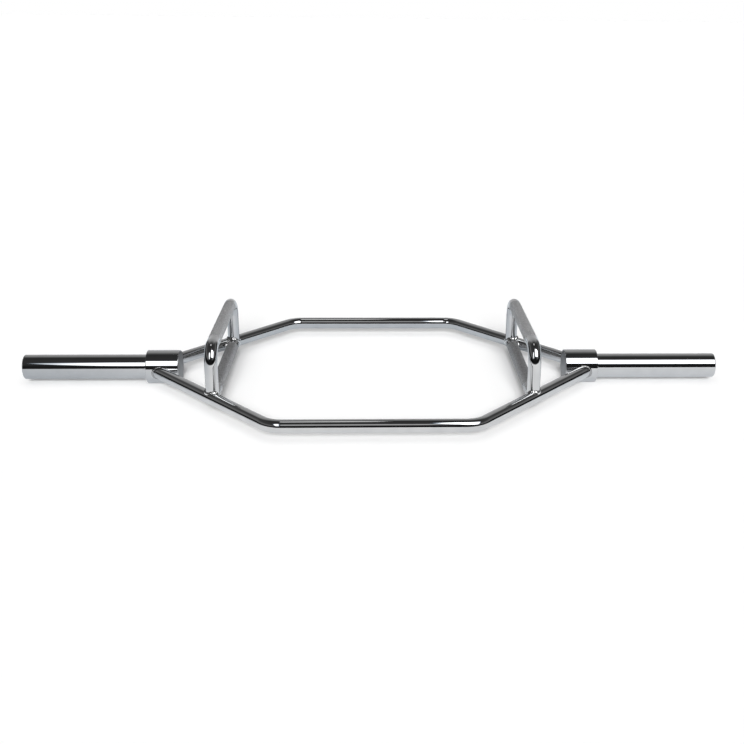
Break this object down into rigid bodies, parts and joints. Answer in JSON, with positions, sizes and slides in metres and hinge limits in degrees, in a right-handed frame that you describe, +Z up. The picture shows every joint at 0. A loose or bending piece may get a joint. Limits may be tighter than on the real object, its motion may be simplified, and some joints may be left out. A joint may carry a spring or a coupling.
{
  "type": "hex trap bar",
  "caption": "Chrome-plated welded hexagonal lifting bar with raised and low knurled handles and plain round sleeves for weight plates.",
  "frame": {"origin": "on the floor under the middle of the hexagon", "axes": "+X along the loading sleeves to the right, +Y to the back, +Z up"},
  "size_m": [1.43, 0.6614, 0.139],
  "materials": {
    "frame_chrome": "bright chrome plate on drawn round bar",
    "sleeve_chrome": "bright chrome plate on turned tube",
    "collar_chrome": "bright chrome plate, inner face satin",
    "grip_chrome": "chrome plate, diamond knurl on the grips",
    "weld_chrome": "chrome-plated weld bead, rippled",
    "faced_steel": "faced off, satin plate"
  },
  "bodies": {
    "root": {"front_frame_bar": "frame_chrome", "rear_frame_bar": "frame_chrome", "left_sleeve": "sleeve_chrome", "left_collar": "collar_chrome", "left_sleeve_seam_weld": "faced_steel", "left_collar_plug": "faced_steel", "left_sleeve_end_cap": "faced_steel", "left_raised_handle": "grip_chrome", "left_low_handle": "grip_chrome", "right_sleeve": "sleeve_chrome", "right_collar": "collar_chrome", "right_sleeve_seam_weld": "faced_steel", "right_collar_plug": "faced_steel", "right_sleeve_end_cap": "faced_steel", "right_raised_handle": "grip_chrome", "right_low_handle": "grip_chrome", "front_left_collar_weld": "weld_chrome", "front_left_leg_weld": "weld_chrome", "front_left_low_weld": "weld_chrome", "front_right_collar_weld": "weld_chrome", "front_right_leg_weld": "weld_chrome", "front_right_low_weld": "weld_chrome", "rear_left_collar_weld": "weld_chrome", "rear_left_leg_weld": "weld_chrome", "rear_left_low_weld": "weld_chrome", "rear_right_collar_weld": "weld_chrome", "rear_right_leg_weld": "weld_chrome", "rear_right_low_weld": "weld_chrome"}
  },
  "joints": []
}
